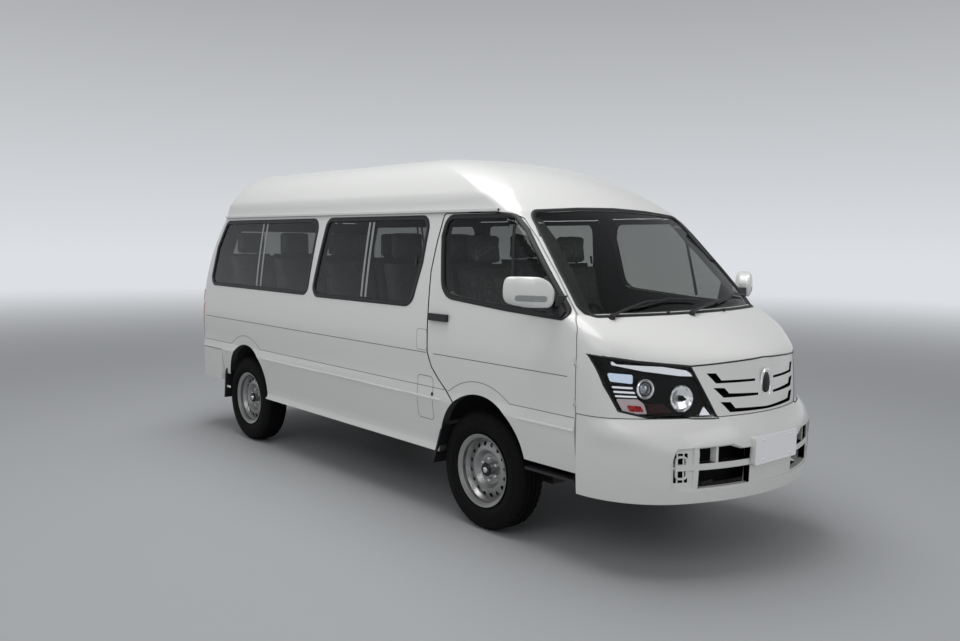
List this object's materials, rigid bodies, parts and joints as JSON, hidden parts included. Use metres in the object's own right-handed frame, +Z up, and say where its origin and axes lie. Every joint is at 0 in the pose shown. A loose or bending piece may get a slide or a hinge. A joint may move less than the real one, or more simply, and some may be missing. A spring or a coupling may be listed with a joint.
{
  "type": "high-roofed minibus",
  "caption": "High-roofed minibus with hollow cabin, rows of seats, hinged front doors and tailgate, steered front wheels and turning road wheels.",
  "frame": {"origin": "centre of the bounding box at ground level, under the middle of the bodywork", "axes": "+X forward along the vehicle, +Y to its left, +Z up"},
  "size_m": [5.1919, 2.1154, 2.1794],
  "materials": {
    "paint": "white gloss paint",
    "glass": "dark tinted glass",
    "clear_glass": "lightly tinted glass",
    "tyre": "black rubber",
    "wheel": "silver painted steel",
    "rubber": "black rubber",
    "trim": "black grained plastic",
    "interior": "dark grey grained plastic",
    "seat": "dark grey cloth",
    "frame": "black painted steel",
    "lamp": "clear lamp over chrome and black",
    "mass": "dark casing"
  },
  "bodies": {
    "root": {"a_pillars": "paint", "battery_pack": "mass", "bumper_front": "paint", "bumper_rear": "paint", "dashboard": "interior", "drive_motor": "mass", "floor_pan": "interior", "front_panel": "paint", "front_seats": "seat", "front_suspension": "frame", "grille": "paint", "headlamps": "lamp", "leaf_springs": "frame", "mud_flaps": "rubber", "rear_axle": "frame", "rear_benches": "seat", "roof": "paint", "seat_frames": "frame", "side_left": "paint", "side_right": "paint", "side_steps": "trim", "side_windows": "glass", "sliding_door": "paint", "sliding_door_glass": "glass", "tail_panel": "paint", "underbody_rails": "frame", "windscreen": "clear_glass"},
    "door_right": {"door_right": "paint", "door_glass_right": "glass", "mirror_right": "paint", "handle_right": "trim"},
    "door_left": {"door_left": "paint", "door_glass_left": "glass", "mirror_left": "paint", "handle_left": "trim"},
    "tailgate": {"tailgate": "paint", "tailgate_glass": "glass"},
    "knuckle_right": {"knuckle_right": "frame"},
    "knuckle_left": {"knuckle_left": "frame"},
    "wheel_front_right": {"tyre_front_right": "tyre", "wheel_front_right": "wheel"},
    "wheel_front_left": {"tyre_front_left": "tyre", "wheel_front_left": "wheel"},
    "wheel_rear_right": {"tyre_rear_right": "tyre", "wheel_rear_right": "wheel"},
    "wheel_rear_left": {"tyre_rear_left": "tyre", "wheel_rear_left": "wheel"},
    "steering_wheel": {"steering_wheel": "trim"}
  },
  "joints": [
    {"name": "door_right_hinge", "type": "hinge", "parent": "root", "child": "door_right", "pos_m": [1.9925, -0.844, 0.9], "axis": [0, 0, 1], "range_deg": [0, 65]},
    {"name": "door_left_hinge", "type": "hinge", "parent": "root", "child": "door_left", "pos_m": [1.9925, 0.844, 0.9], "axis": [0, 0, -1], "range_deg": [0, 65]},
    {"name": "tailgate_hinge", "type": "hinge", "parent": "root", "child": "tailgate", "pos_m": [-2.266, 0, 1.8], "axis": [0, 1, 0], "range_deg": [0, 85]},
    {"name": "steer_right", "type": "hinge", "parent": "root", "child": "knuckle_right", "pos_m": [1.244, -0.65, 0.341], "axis": [0, 0, 1], "range_deg": [-35, 35]},
    {"name": "steer_left", "type": "hinge", "parent": "root", "child": "knuckle_left", "pos_m": [1.244, 0.65, 0.341], "axis": [0, 0, 1], "range_deg": [-35, 35]},
    {"name": "steering_wheel_turn", "type": "hinge", "parent": "root", "child": "steering_wheel", "pos_m": [1.574, -0.39, 1.13], "axis": [-0.8829, 0, 0.4695], "range_deg": [-540, 540]},
    {"name": "wheel_front_right_spin", "type": "hinge", "parent": "knuckle_right", "child": "wheel_front_right", "pos_m": [1.244, -0.715, 0.341], "axis": [0, 1, 0], "continuous": true},
    {"name": "wheel_front_left_spin", "type": "hinge", "parent": "knuckle_left", "child": "wheel_front_left", "pos_m": [1.244, 0.715, 0.341], "axis": [0, 1, 0], "continuous": true},
    {"name": "wheel_rear_right_spin", "type": "hinge", "parent": "root", "child": "wheel_rear_right", "pos_m": [-1.646, -0.715, 0.341], "axis": [0, 1, 0], "continuous": true},
    {"name": "wheel_rear_left_spin", "type": "hinge", "parent": "root", "child": "wheel_rear_left", "pos_m": [-1.646, 0.715, 0.341], "axis": [0, 1, 0], "continuous": true}
  ],
  "couplings": [
    {"joint": "steer_left", "follows": "steer_right", "ratio": 1},
    {"joint": "steering_wheel_turn", "follows": "steer_right", "ratio": 15.4}
  ]
}
